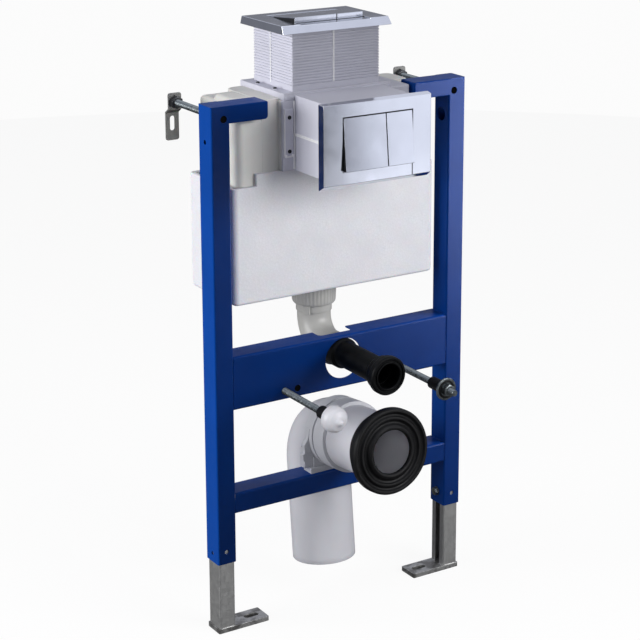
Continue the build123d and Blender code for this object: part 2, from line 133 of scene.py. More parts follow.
def colour(name, description, hex_colour):
    return FloatVectorProperty(name=name, description=description, default=linear(hex_colour),
                               size=3, min=0.0, max=1.0, subtype="COLOR")


def length(name, description, millimetres, low, high):
    return FloatProperty(name=name, description=description, default=millimetres * MM, min=low * MM,
                         max=high * MM, precision=5, subtype="DISTANCE", unit="LENGTH")


class FrameFinishes(bpy.types.PropertyGroup):
    """Colours of the finishes."""
    paint: colour("Frame paint", "Powder coat of the steel frame", "083B88")
    galvanised: colour("Galvanised steel", "Legs, feet and wall brackets", "A6A6A4")
    zinc: colour("Zinc plated steel", "Rods, studs, bolts and washer", "6E7476")
    screws: colour("Phosphated steel", "Flange screws and tie nuts", "3A3B3D")
    foam: colour("Foam", "Expanded polystyrene of the jacket", "E5E5EA")
    # the cistern's tone is raised partly as painted light; the nut and elbow take it at two thirds
    tank: colour("Cistern plastic", "Cistern, outlet nut and elbow", "DCDBD6")
    shaft: colour("Shaft plastic", "Maintenance shafts and flanges", "D0D0DC")
    chrome: colour("Chrome", "Plated flush plates and buttons", "D4D7DE")
    black: colour("Black plastic", "Button sides, flush pipe and collar", "040506")
    rubber: colour("Black rubber", "Pan seal and stud sleeves", "060607")
    pipe: colour("White pipe", "Soil bend, spigot and stud cap", "C4C4CA")
    clip: colour("Clip plastic", "Pipe clip", "CCCDD2")
    paper: colour("Studio paper", "Floor and backdrop", "FFFFFF")


class FrameSizes(bpy.types.PropertyGroup):
    """Sizes of fine detail."""
    thread_pitch: length("Thread pitch", "Pitch of the M12 rods and studs", 1.75, 0.8, 4.0)
    edge: length("Edge radius", "Softened edge of moulded and folded pieces", 0.6, 0.1, 3.0)
    bead: length("Foam bead", "Size of the foam's fused beads", 4.5, 1.0, 10.0)
    spangle: length("Zinc spangle", "Size of the galvanised crystals", 6.0, 1.0, 30.0)
    orange_peel: length("Orange peel", "Grain of the powder coat", 1.6, 0.3, 5.0)


def finishes():
    return bpy.context.scene.toilet_frame_finishes


def sizes():
    return bpy.context.scene.toilet_frame_sizes


# ---- materials ----
def add(tree, kind, settings=None, links=None, **attributes):
    """Adds a node with its attributes, input values and links, and returns it."""
    node = tree.nodes.new(kind)
    for key, value in attributes.items():
        setattr(node, key, value)
    for key, value in (settings or {}).items():
        node.inputs[key].default_value = value
    for key, source in (links or {}).items():
        tree.links.new(source, node.inputs[key])
    return node


def surface(name, base, roughness, **shader):
    """A material with a principled shader; returns it, its tree and the shader."""
    material = bpy.data.materials.new(name)
    material.use_nodes = True
    tree = material.node_tree
    tree.nodes.clear()
    settings = {"Base Color": (*base, 1.0), "Roughness": roughness}
    settings.update({key.replace("_", " "): value for key, value in shader.items()})
    bsdf = add(tree, "ShaderNodeBsdfPrincipled", settings)
    add(tree, "ShaderNodeOutputMaterial", links={"Surface": bsdf.outputs[0]})
    return material, tree, bsdf


def grain(tree, size, detail=2.0, stretch=(1.0, 1.0, 1.0), distortion=0.0):
    """Socket of noise whose grain is size metres across, stretched along the row's axes."""
    where = add(tree, "ShaderNodeTexCoord")
    scaled = add(tree, "ShaderNodeMapping", {"Scale": stretch}, {"Vector": where.outputs["Object"]})
    return add(tree, "ShaderNodeTexNoise", {"Scale": 1.0 / size, "Detail": detail, "Distortion": distortion},
               {"Vector": scaled.outputs[0]}).outputs["Fac"]


def cells(tree, size, feature="F1", smooth=None):
    """Voronoi cells size metres across."""
    where = add(tree, "ShaderNodeTexCoord")
    made = add(tree, "ShaderNodeTexVoronoi", {"Scale": 1.0 / size}, {"Vector": where.outputs["Object"]},
               feature=feature)
    if smooth is not None:
        made.inputs["Smoothness"].default_value = smooth
    return made


def ranged(tree, source, span=(0.3, 0.7), low=0.0, high=1.0):
    """Socket that runs from low to high as source runs over span."""
    limits = {"From Min": span[0], "From Max": span[1], "To Min": low, "To Max": high}
    return add(tree, "ShaderNodeMapRange", limits, {"Value": source}).outputs[0]


def roughen(tree, bsdf, source, low, high, span=(0.3, 0.7)):
    """Drives the roughness between low and high by source."""
    tree.links.new(ranged(tree, source, span, low, high), bsdf.inputs["Roughness"])


def relief(tree, bsdf, heights):
    """Chains bumps, one for each (height source, depth in metres, strength)."""
    last = None
    for source, depth, strength in heights:
        links = {"Height": source}
        if last is not None:
            links["Normal"] = last.outputs[0]
        last = add(tree, "ShaderNodeBump", {"Distance": depth, "Strength": strength}, links)
    tree.links.new(last.outputs[0], bsdf.inputs["Normal"])


def blended(tree, factor, a, b):
    """Colour socket between a and b, each a socket or a colour, by factor."""
    mixed = add(tree, "ShaderNodeMix", links={"Factor": factor}, data_type="RGBA")
    for socket, value in ((mixed.inputs[6], a), (mixed.inputs[7], b)):
        if isinstance(value, bpy.types.NodeSocket):
            tree.links.new(value, socket)
        else:
            socket.default_value = (*value, 1.0)
    return mixed.outputs[2]


def tinted(tree, source, base, low, high, span=(0.3, 0.7)):
    """Colour socket that runs from low to high times base as source runs over span."""
    return blended(tree, ranged(tree, source, span), [min(1.0, c * low) for c in base],
                   [min(1.0, c * high) for c in base])


def shade(key, tone=1.0):
    """A finish's colour, times tone."""
    return tuple(c * tone for c in getattr(finishes(), key))


def grained(name, base, roughness, grains, tint, rough, heights=(), **shader):
    """A surface varied by noise. grains names each noise with its arguments for grain. tint and rough are
    (grain, low, high), heights lists (grain, depth in metres, strength)."""
    material, tree, bsdf = surface(name, base, roughness, **shader)
    made = {key: grain(tree, *values) for key, values in grains.items()}
    tree.links.new(tinted(tree, made[tint[0]], base, *tint[1:]), bsdf.inputs["Base Color"])
    roughen(tree, bsdf, made[rough[0]], *rough[1:])
    if heights:
        relief(tree, bsdf, [(made[key], depth, strength) for key, depth, strength in heights])
    return material


def by_ray(tree, kind, others, these):
    """Shader that is these for one kind of ray, and others for the rest."""
    rays = add(tree, "ShaderNodeLightPath")
    return add(tree, "ShaderNodeMixShader",
               links={0: rays.outputs[kind], 1: others.outputs[0], 2: these.outputs[0]})


def powder_coated_steel():
    # Polyester powder coat, satin: a fine orange peel breaks up the soft highlight.
    return grained("powder_coated_steel_blue", shade("paint"), 0.34,
                   {"peel": (sizes().orange_peel, 3.0), "cloud": (0.09, 4.0), "fine": (0.012, 3.0)},
                   ("cloud", 0.93, 1.08), ("fine", 0.3, 0.4),
                   [("peel", 0.00012, 0.35), ("fine", 0.0002, 0.15)], Specular_IOR_Level=0.08)


def galvanised_steel(name="galvanised_steel_spangled", tone=1.0, dirt=None):
    # Hot dip galvanised strip: grey spangle crystals of a few millimetres and faint rolling streaks.
    base = shade("galvanised", tone)
    material, tree, bsdf = surface(name, base, 0.48, Metallic=0.85)
    crystals = cells(tree, sizes().spangle)
    streaks = grain(tree, 0.004, 3.0, (1.0, 1.0, 0.06))
    separate = add(tree, "ShaderNodeSeparateColor", links={"Color": crystals.outputs["Color"]})
    spangled = tinted(tree, separate.outputs[0], base, 0.92, 1.07, (0.0, 1.0))
    streaked = tinted(tree, streaks, base, 0.84, 1.1)
    coloured = blended(tree, ranged(tree, streaks, (0.35, 0.65), 0.2, 0.7), spangled, streaked)
    if dirt is not None:
        patches = grain(tree, 0.02, 4.0, distortion=0.5)
        coloured = blended(tree, ranged(tree, patches, (0.47, 0.6), 0.0, 0.7), coloured, dirt)
    tree.links.new(coloured, bsdf.inputs["Base Color"])
    roughen(tree, bsdf, separate.outputs[1], 0.42, 0.52, (0.0, 1.0))
    relief(tree, bsdf, [(streaks, 0.00008, 0.3), (crystals.outputs["Distance"], 0.0001, 0.12)])
    return material


def weathered_galvanised_steel():
    # The wall brackets take the galvanised finish at half its tone, a darker grey.
    return galvanised_steel("galvanised_steel_dulled", 0.5)


def stained_galvanised_steel():
    # The foot plates carry dark, patchy dirt over the zinc.
    return galvanised_steel("galvanised_steel_stained", 0.9, (0.07, 0.065, 0.06))


def zinc_plated_steel():
    # Electroplated zinc on turned and rolled steel: bright, slightly cool, with handling marks.
    return grained("zinc_plated_steel", shade("zinc"), 0.3, {"marks": (0.006, 4.0)}, ("marks", 0.75, 1.15),
                   ("marks", 0.22, 0.42), [("marks", 0.0001, 0.2)], Metallic=1.0)


def phosphated_steel():
    # Black phosphated screws and nuts: dark, oiled steel with a dull glint.
    return grained("phosphated_steel_oiled", shade("screws"), 0.38, {"marks": (0.002, 3.0)},
                   ("marks", 0.6, 1.4), ("marks", 0.3, 0.5), Metallic=0.9)


def expanded_polystyrene():
    # Steam moulded bead foam: matt white, fused beads of about 4.5 mm with fine dark joints.
    base = shade("foam")
    material, tree, bsdf = surface("expanded_polystyrene_moulded", base, 0.82, Specular_IOR_Level=0.25,
                                   Subsurface_Weight=0.15, Subsurface_Scale=0.006)
    beads = cells(tree, sizes().bead, "SMOOTH_F1", 0.3)
    joints = cells(tree, sizes().bead, "DISTANCE_TO_EDGE")
    cloud = grain(tree, 0.05, 5.0)
    pits = grain(tree, 0.002, 2.0)
    seams = ranged(tree, joints.outputs["Distance"], (0.0, 0.09))
    clean = tinted(tree, cloud, base, 0.955, 1.02)
    tree.links.new(blended(tree, seams, [c * 0.93 for c in base], clean), bsdf.inputs["Base Color"])
    relief(tree, bsdf, [(beads.outputs["Distance"], 0.0006, 0.22), (cloud, 0.002, 0.2),
                        (pits, 0.0003, 0.2)])
    return material


def moulded_plastic(name, base, roughness, size, depth, tone=(0.97, 1.03), **shader):
    """Injection or blow moulded plastic with a fine tool texture."""
    return grained(name, base, roughness, {"texture": (size, 3.0), "cloud": (0.06, 4.0)}, ("cloud", *tone),
                   ("cloud", roughness * 0.85, min(1.0, roughness * 1.15)),
                   [("texture", depth, 0.25), ("cloud", 0.0015, 0.12)], **shader)


def blow_moulded_polyethylene():
    # Blow moulded high density polyethylene: waxy grey white, softly uneven where the wall thins.
    # Its tone is raised partly as painted light, to lift its front out of the return's shade; the nut and
    # elbow keep the plastic darker.
    return moulded_plastic("polyethylene_blow_moulded", shade("tank"), 0.42, 0.0016, 0.0002, (0.95, 1.03),
                           Subsurface_Weight=0.08, Subsurface_Scale=0.004)


def injection_moulded_polyethylene():
    # The outlet nut and elbow take the same plastic at two thirds of the cistern's raised tone, and a little
    # glossier.
    return moulded_plastic("polyethylene_injection_moulded", shade("tank", 0.66), 0.36, 0.0014, 0.00015)


def moulded_polystyrene():
    # Injection moulded high impact polystyrene with a fine spark eroded texture: satin, cool grey.
    return moulded_plastic("polystyrene_spark_textured", shade("shaft"), 0.5, 0.0009, 0.00012)


def moulding_seam():
    # Raised seams and ribs of the shafts: the same plastic at 1.4 times its tone, a painted highlight along
    # them.
    highlighted = tuple(min(0.9, c) for c in shade("shaft", 1.4))
    return moulded_plastic("polystyrene_seam_pale", highlighted, 0.4, 0.0009, 0.0001)


def chrome_plated_plastic():
    # Chrome plate on moulded plastic: a mirror with a soft haze and the slightest waviness.
    return grained("chrome_plated_plastic", shade("chrome"), 0.12, {"haze": (0.03, 3.0)},
                   ("haze", 0.97, 1.02), ("haze", 0.1, 0.17), [("haze", 0.0004, 0.05)], Metallic=1.0)


def black_plastic():
    # Moulded black acrylonitrile plastic, semi gloss.
    return moulded_plastic("black_plastic_moulded", shade("black"), 0.34, 0.0012, 0.0001, (0.8, 1.3))


def matt_black_plug():
    # Near-black discs deep in the holes that take almost no light, painted shade of the holes' depth.
    return moulded_plastic("polyethylene_plug_matt_black", (0.002, 0.002, 0.002), 0.8, 0.001, 0.0001,
                           (0.7, 1.3), Specular_IOR_Level=0.03)


def black_polyethylene():
    # Extruded and moulded polyethylene pipe: black, semi gloss, with faint die lines along it.
    return grained("polyethylene_pipe_black", shade("black"), 0.36,
                   {"lines": (0.003, 3.0, (1.0, 0.04, 1.0)), "dust": (0.02, 4.0)},
                   ("dust", 0.8, 1.6), ("dust", 0.3, 0.46), [("lines", 0.0001, 0.3)], Specular_IOR_Level=0.1)


def moulded_rubber():
    # Compression moulded EPDM: matt charcoal with a dusty bloom.
    return grained("epdm_rubber_moulded", shade("rubber"), 0.5,
                   {"bloom": (0.014, 5.0), "skin": (0.0012, 2.0)},
                   ("bloom", 0.75, 1.9), ("bloom", 0.42, 0.62),
                   [("skin", 0.00015, 0.3), ("bloom", 0.0008, 0.15)], Specular_IOR_Level=0.18)


def white_polypropylene():
    # Moulded white polypropylene pipe: satin, cool white.
    return moulded_plastic("polypropylene_pipe_white", shade("pipe"), 0.34, 0.003, 0.00015, (0.96, 1.02),
                           Subsurface_Weight=0.05, Subsurface_Scale=0.003)


def clip_polypropylene():
    # The clip's plastic is a little greyer and flatter than the pipe.
    return moulded_plastic("polypropylene_clip_grey_white", shade("clip"), 0.42, 0.0014, 0.00015)


# Each finish with the maker of its material and the row's slot.
FINISHES = {
    "paint": (powder_coated_steel, "frame_paint"), "galvanised": (galvanised_steel, "galvanised"),
    "dulled": (weathered_galvanised_steel, "galvanised"),
    "stained": (stained_galvanised_steel, "galvanised"), "zinc": (zinc_plated_steel, "zinc_steel"),
    "dark": (phosphated_steel, "zinc_steel"), "foam": (expanded_polystyrene, "foam"),
    "tank": (blow_moulded_polyethylene, "tank_plastic"),
    "fitting": (injection_moulded_polyethylene, "tank_plastic"),
    "flange": (moulded_polystyrene, "tank_plastic"), "shaft": (moulded_polystyrene, "shaft_plastic"),
    "seam": (moulding_seam, "shaft_plastic"), "chrome": (chrome_plated_plastic, "chrome"),
    "black": (black_plastic, "black_pe"), "plug": (matt_black_plug, "black_pe"),
    "pe": (black_polyethylene, "black_pe"), "rubber": (moulded_rubber, "black_rubber"),
    "pipe": (white_polypropylene, "white_pipe"), "clip": (clip_polypropylene, "clip_plastic"),
}
MATERIALS = {}


def finish_of(key):
    """The material of that key, made on first use."""
    if key not in MATERIALS:
        MATERIALS[key] = FINISHES[key][0]()
    return MATERIALS[key]


# ---- mesh stock ----
def rounded(points, radius, steps=3, closed=True):
    """Outline with its corners rounded; radius is one number, or one for each corner."""
    pts = [Vector(p) for p in points]
    count = len(pts)
    radii = radius if hasattr(radius, "__len__") else [radius] * count
    out = []
    for i, p in enumerate(pts):
        if radii[i] <= 0 or (not closed and i in (0, count - 1)):
            out.append(tuple(p))
            continue
        u, v = pts[i - 1] - p, pts[(i + 1) % count] - p
        angle = u.angle(v)
        if angle > math.pi - 0.04:
            out.append(tuple(p))
            continue
        cut = min(radii[i] / math.tan(angle / 2), u.length * 0.49, v.length * 0.49)
        a, b = p + u.normalized() * cut, p + v.normalized() * cut
        for k in range(steps + 1):
            t = k / steps
            out.append(tuple(a * (1 - t) ** 2 + p * (2 * t * (1 - t)) + b * (t * t)))
    return out


def angles(steps):
    return [2 * math.pi * i / steps for i in range(steps)]


def circle(radius, steps=48):
    return [(radius * math.cos(t), radius * math.sin(t)) for t in angles(steps)]


def level(outline, z):
    """An outline lifted to height z."""
    return [(x, y, z) for x, y in outline]


class Stock:
    """Collects closed shells, each drawn in millimetres in its own place."""

    def __init__(self):
        self.mesh = bmesh.new()

    def skin(self, rings, where=Matrix(), loop=False, material=0):
        """Faces between rings of points. Without loop, the first and last ring are closed by a face."""
        rows = [[self.mesh.verts.new(where @ Vector(p)) for p in ring] for ring in rings]
        count = len(rows[0])
        made = []
        for a, b in list(zip(rows, rows[1:])) + ([(rows[-1], rows[0])] if loop else []):
            for i in range(count):
                j = (i + 1) % count
                made.append(self.mesh.faces.new((a[i], a[j], b[j], b[i])))
        if not loop:
            made += [self.mesh.faces.new(rows[0][::-1]), self.mesh.faces.new(rows[-1])]
        for face in made:
            face.material_index = material

    def prism(self, outline, low, high, where=Matrix(), material=0):
        self.skin([level(outline, z) for z in (low, high)], where, material=material)

    def block(self, x, y, z, where=Matrix()):
        self.prism([(x[0], y[0]), (x[1], y[0]), (x[1], y[1]), (x[0], y[1])], z[0], z[1], where)

    def turned(self, profile, where=Matrix(), steps=64, loop=True, material=0):
        """Turns (radius, height) points about local Z. Without loop, the profile ends on the axis."""
        self.skin([level(circle(r, steps), z) for r, z in profile], where, loop, material)

    def pipe(self, centre, outer, inner, where=Matrix(), steps=64):
        """Hollow pipe along a path in the local YZ plane, with its outer radius at each point."""
        count = len(centre)
        rings = []
        for k in [*range(count), *reversed(range(count))]:
            a, b = centre[max(k - 1, 0)], centre[min(k + 1, count - 1)]
            along = Vector((b[0] - a[0], b[1] - a[1])).normalized()
            r = outer[k] if len(rings) < count else inner
            rings.append([(r * math.cos(t), centre[k][0] - r * math.sin(t) * along.y,
                           centre[k][1] + r * math.sin(t) * along.x) for t in angles(steps)])
        self.skin(rings, where, True)

    def thread(self, radius, low, high, where=Matrix(), pitch=1.75, depth=0.75, steps=20):
        """Rod with a rolled thread along local Z, from low to high, tapered over a pitch at both ends."""
        levels = (0.0, 0.62, 1.0, 0.62)  # root, flank, crest, flank
        turns = int((high - low) / pitch) + 2
        columns = []
        for i, angle in enumerate(angles(steps)):
            column = []
            for k in range(turns * 4 + 1):
                z = low + (k / 4 - 1 + i / steps) * pitch
                edge = min(z - low, high - z)
                r = radius - depth * (1 - levels[k % 4])
                if edge < pitch:
                    r = min(r, radius - depth * (1.15 - max(edge, 0.0) / pitch))
                z = min(max(z, low), high)
                at = Vector((r * math.cos(angle), r * math.sin(angle), z))
                column.append(self.mesh.verts.new(where @ at))
            columns.append(column)
        for i in range(steps):
            wrap = 4 if i == steps - 1 else 0  # the last column meets the first one turn up
            a, b = columns[i], columns[(i + 1) % steps]
            for k in range(len(a) - 1):
                if k + 1 + wrap < len(b):
                    self.mesh.faces.new([a[k], b[k + wrap], b[k + 1 + wrap], a[k + 1]])

    def hexagon(self, flats, low, high, where=Matrix(), bore=0.0):
        """Hexagon nut or bolt head along local Z, its corners turned off at both ends."""
        corner = flats / math.sqrt(3)
        drop = (corner - flats / 2) * 0.55
        face, crown = flats / 2 * 0.94, flats / 2 * 1.03
        steps = 48
        hole = circle(max(bore, 0.01), steps)

        def ring(height, cone):
            out = []
            for t in angles(steps):
                side = (t + math.pi / 6) % (math.pi / 3) - math.pi / 6
                r = flats / 2 / math.cos(side)
                out.append((min(r, cone) * math.cos(t), min(r, cone) * math.sin(t), height))
            return out

        rings = [level(hole, low), ring(low, face), ring(low + drop * 0.5, crown),
                 ring(low + drop, corner + 1), ring(high - drop, corner + 1),
                 ring(high - drop * 0.5, crown), ring(high, face), level(hole, high)]
        self.skin(rings, where, loop=bore > 0)

    def bead(self, start, end, radius, ripple=2.6, seed=0.0):
        """Weld bead between two points, rippled along its length."""
        start, end = Vector(start), Vector(end)
        run = end - start
        turn = run.to_track_quat("Z", "Y").to_matrix().to_4x4()
        turn.translation = start
        count = max(6, int(run.length / ripple * 4))
        rings = []
        for i in range(count + 1):
            s = i / count
            swell = 0.86 + 0.14 * abs(math.sin(math.pi * s * run.length / ripple))
            swell *= 1 + 0.18 * noise.noise(Vector((seed, s * run.length * 0.12, 3.1)))
            taper = min(1.0, 4.0 * s + 0.35, 4.0 * (1 - s) + 0.35)
            rings.append([(x * taper, y * taper, s * run.length) for x, y in circle(radius * swell, 12)])
        self.skin(rings, turn)


def linked(name, data):
    """A new object of the scene."""
    thing = bpy.data.objects.new(name, data)
    bpy.context.scene.collection.objects.link(thing)
    return thing


def settled(name, shells, materials):
    """A mesh object made of shells, brought from the floor frame to the row frame."""
    shells.transform(TO_ROW)
    mesh = bpy.data.meshes.new(name)
    shells.to_mesh(mesh)
    shells.free()
    for material in materials:
        mesh.materials.append(material)
    return linked(name, mesh)


def piece(name, stock, finish, body="frame", replaces=None, edge=0.0, segments=2, sharp=35.0):
    """Turns stock into a finished piece that rides on a body. Edges steeper than sharp degrees stay crisp."""
    keys = finish if isinstance(finish, tuple) else (finish,)
    shells = stock.mesh
    bmesh.ops.remove_doubles(shells, verts=shells.verts, dist=MERGE)
    bmesh.ops.dissolve_degenerate(shells, edges=shells.edges, dist=SLIVER)
    open_edges = [e for e in shells.edges if e.is_boundary]
    if open_edges:
        bmesh.ops.holes_fill(shells, edges=open_edges, sides=0)
    bmesh.ops.recalc_face_normals(shells, faces=shells.faces)
    made = settled(name, shells, [finish_of(key) for key in keys])
    mesh = made.data
    mesh.polygons.foreach_set("use_smooth", [True] * len(mesh.polygons))
    mesh.set_sharp_from_angle(angle=math.radians(sharp))
    if edge:
        soften(made, edge, segments, sharp)
    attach(made, body)
    if replaces:
        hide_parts(replaces)


def turned_piece(name, profile, radii, smooth, where, steps, finish, **how):
    """A piece turned in one go from a profile whose corners are rounded."""
    stock = Stock()
    stock.turned(rounded(profile, radii, smooth), where, steps)
    piece(name, stock, finish, **how)


def soften(thing, edge, segments=2, sharp=35.0, weld=False):
    """Rounds the sharp edges of an object, edge in millimetres, and evens its shading."""
    if weld:
        thing.modifiers.new("Join split edges", "WELD").merge_threshold = 0.00001
        flat = thing.modifiers.new("Merge flat faces", "DECIMATE")
        flat.decimate_type = "DISSOLVE"
        flat.angle_limit = FLAT
    bevel = thing.modifiers.new("Soft edges", "BEVEL")
    bevel.width = edge * MM
    bevel.segments = segments
    bevel.limit_method = "ANGLE"
    bevel.angle_limit = math.radians(sharp)
    bevel.use_clamp_overlap = True
    normals = thing.modifiers.new("Even shading", "WEIGHTED_NORMAL")
    normals.keep_sharp = True


def keep_node(node, finish, edge=None):
    """Gives a packed node its finish and soft edges."""
    thing = NODES[node]
    material = finish_of(finish)
    if thing.material_slots:
        for slot in thing.material_slots:
            slot.material = material
    else:
        thing.data.materials.append(material)
    if edge:
        soften(thing, edge, 2, 30.0, weld=True)


# ---- pieces ----
def steel_frame():
    """Powder coated uprights and cross bars with their welds"""
    for node in ("left_upright", "right_upright", "upper_crossbar", "lower_crossbar"):
        keep_node(node, "paint", 0.5)
    welds = Stock()
    for s in (-1, 1):
        x, back = s * (INNER - 0.6), POST_D - 2
        for k, (low, high) in enumerate((UPPER_BAR, LOWER_BAR)):
            welds.bead((x, 3.5, high - 0.4), (x, back, high - 0.4), 2.1, seed=k + s)
            welds.bead((x, 5.0, low + 0.6), (x, back, low + 0.6), 1.9, seed=k + s + 0.5)
            welds.bead((x, 0.9, low + 5), (x, 0.9, high - 5), 1.3, seed=k + s + 0.3)
    piece("frame_welds", welds, "paint", sharp=60)
    domed = rounded([(0, 0), (7.2, 0), (7.2, 4.0), (5.0, 7.0), (0, 7.5)], [0, 0.6, 1.2, 1.5, 0], 3, False)
    dished = rounded([(0, -2.4), (6.0, -2.4), (6.0, -0.9), (4.6, -1.3), (0, -1.6)],
                     [0, 0.2, 0.3, 0.6, 0], 2, False)
    for side, s in SIDES:
        plug = Stock()
        plug.turned(domed, place(s * (HALF - 11.5), POST_D, 847.0, turned_by(-90, "X")), 32, False)
        piece(side + "_back_plug", plug, "black", sharp=40)
        # near-black discs just inside the rod hole and the spare stud hole, painted shade of the holes' depth
        for name, x, z in (("rod", TIE_X, TIE_Z), ("spare", SPARE_X, STUD_Z)):
            plug = Stock()
            plug.turned(dished, facing(s * x, z), 40, False)
            piece(f"{side}_{name}_hole_plug", plug, "plug", sharp=40)


def wall_ties():
    """Threaded rods, nuts and brackets to the wall"""
    pitch = sizes().thread_pitch / MM
    for side, s in SIDES:
        where = facing(s * TIE_X, TIE_Z)
        rod = Stock()
        rod.thread(ROD_R, -174.5, -3.0, where, pitch)
        piece(side + "_threaded_rod", rod, "zinc", replaces=side + "_wall_rod", sharp=50)
        nut = Stock()
        nut.hexagon(M12_FLATS, -165.0, -155.0, where, ROD_R)
        piece(side + "_tie_nut", nut, "dark", replaces=side + "_rod_nut", sharp=30)
        keep_node(side + "_wall_bracket", "dulled", 0.4)


def legs():
    """Galvanised legs, feet and clamp bolts"""
    for side, s in SIDES:
        body = side + "_leg"
        keep_node(body, "galvanised", 0.35)
        keep_node(side + "_foot_plate", "stained", 0.9)
        welds = Stock()
        outer, inner, end = HALF - 2.6, INNER + 1.6, INNER + 3
        for a, b in (((outer, 2.4), (end, 2.4)), ((outer, 39.6), (end, 39.6)),
                     ((inner, 4.0), (inner, 15.0)), ((inner, 27.0), (inner, 38.0))):
            welds.bead((s * a[0], a[1], 8.0), (s * b[0], b[1], 8.0), 1.3, seed=s + s * a[0] * 0.01)
        piece(side + "_foot_weld", welds, "galvanised", body, sharp=60)
        bolt = Stock()
        where = place(s * (INNER - 7.0), POST_D / 2, 147.0, turned_by(90 * s, "Y"))
        bolt.hexagon(M8_FLATS, 0.0, 5.4, where)
        bolt.turned(rounded([(4.0, 5.4), (8.0, 5.4), (8.0, 6.95), (4.0, 6.95)], 0.4, 2), where, 32)
        bolt.thread(4.0, 5.2, 20.0, where, 1.25, 0.5)
        bolt.block((-8, 8), (-10, 10), (12.0, 17.5), where)
        piece(side + "_clamp_bolt", bolt, "zinc", replaces=side + "_leg_bolt", sharp=30)


def cistern():
    """Blow moulded cistern in its foam jacket"""
    for node in ("jacket_front", "jacket_back"):
        foam = Stock()
        mesh = foam.mesh
        mesh.from_mesh(NODES[node].data)
        mesh.transform(TO_ROW.inverted() @ NODES[node].matrix_world)
        for v in mesh.verts:
            if abs(v.co.x) > JACKET_END:
                v.co.x += math.copysign(JACKET_MORE, v.co.x)
        bmesh.ops.remove_doubles(mesh, verts=mesh.verts, dist=MERGE)
        bmesh.ops.dissolve_limit(mesh, angle_limit=FLAT, verts=mesh.verts, edges=mesh.edges)
        piece("foam_" + node, foam, "foam", replaces=node, edge=1.6)
    tank = Stock()
    x = JACKET_X - 8
    tank.prism(rounded([(-x, 28), (x, 28), (x, 164), (-x, 164)], [12, 12, 10, 10], 5), 569, 866)
    x -= 2
    tank.prism(rounded([(-x, 40), (x, 40), (x, 163), (-x, 163)], 12, 5), 850, TANK_TOP - 6)
    piece("cistern_body", tank, "tank", replaces="cistern_tank", edge=9.0, segments=4, sharp=50)
    neck = Stock()
    neck.block((-107, 107), (19.8, 60), (777.5, TANK_TOP - 0.2))
    piece("cistern_neck", neck, "tank", edge=2.0, segments=3)
    for side, finish, outline, radii, low in (
            ("left", "tank", [(-138, 27.6), (-60, 27.6), (-60, 150), (-138, 150)], [2, 2, 2, 20], 600),
            ("right", "flange", [(60, 7), (138, 7), (138, 150), (60, 150)], [2, 10, 20, 2], 868)):
        shoulder = Stock()
        shoulder.prism(rounded(outline, radii, 5), low, SHOULDER_TOP)
        piece("cistern_shoulder_" + side, shoulder, finish, edge=3.5, segments=4, sharp=40)
    for side, s in SIDES:
        dome = Stock()
        outline = rounded([(s * 176, 58), (s * 120, 58), (s * 120, 128), (s * 176, 128)][::s], 20, 6)
        dome.prism(outline, 872, 895.5)
        piece("cistern_dome_" + side, dome, "tank", edge=9.0, segments=5, sharp=40)


def screw(stock, where, radius=3.3):
    """Pan head screw with a cross recess, standing on local Z 0."""
    head = ((1.0, 0.0), (1.0, 0.45), (0.94, 0.62), (0.78, 0.8), (0.6, 0.9), (0.42, 0.95), (0.2, 0.97),
            (0.02, 0.97))  # radius and height along the dome, as shares of the whole
    high, slot, deep = radius * 0.72, radius * 0.17, radius * 0.5
    rings = []
    for r, h in head:
        rings.append([(x, y, h * high - (deep if r < 0.1 or r < 0.62 and min(abs(x), abs(y)) < slot else 0.0))
                      for x, y in circle(r * radius, 32)])
    stock.skin(rings, where)


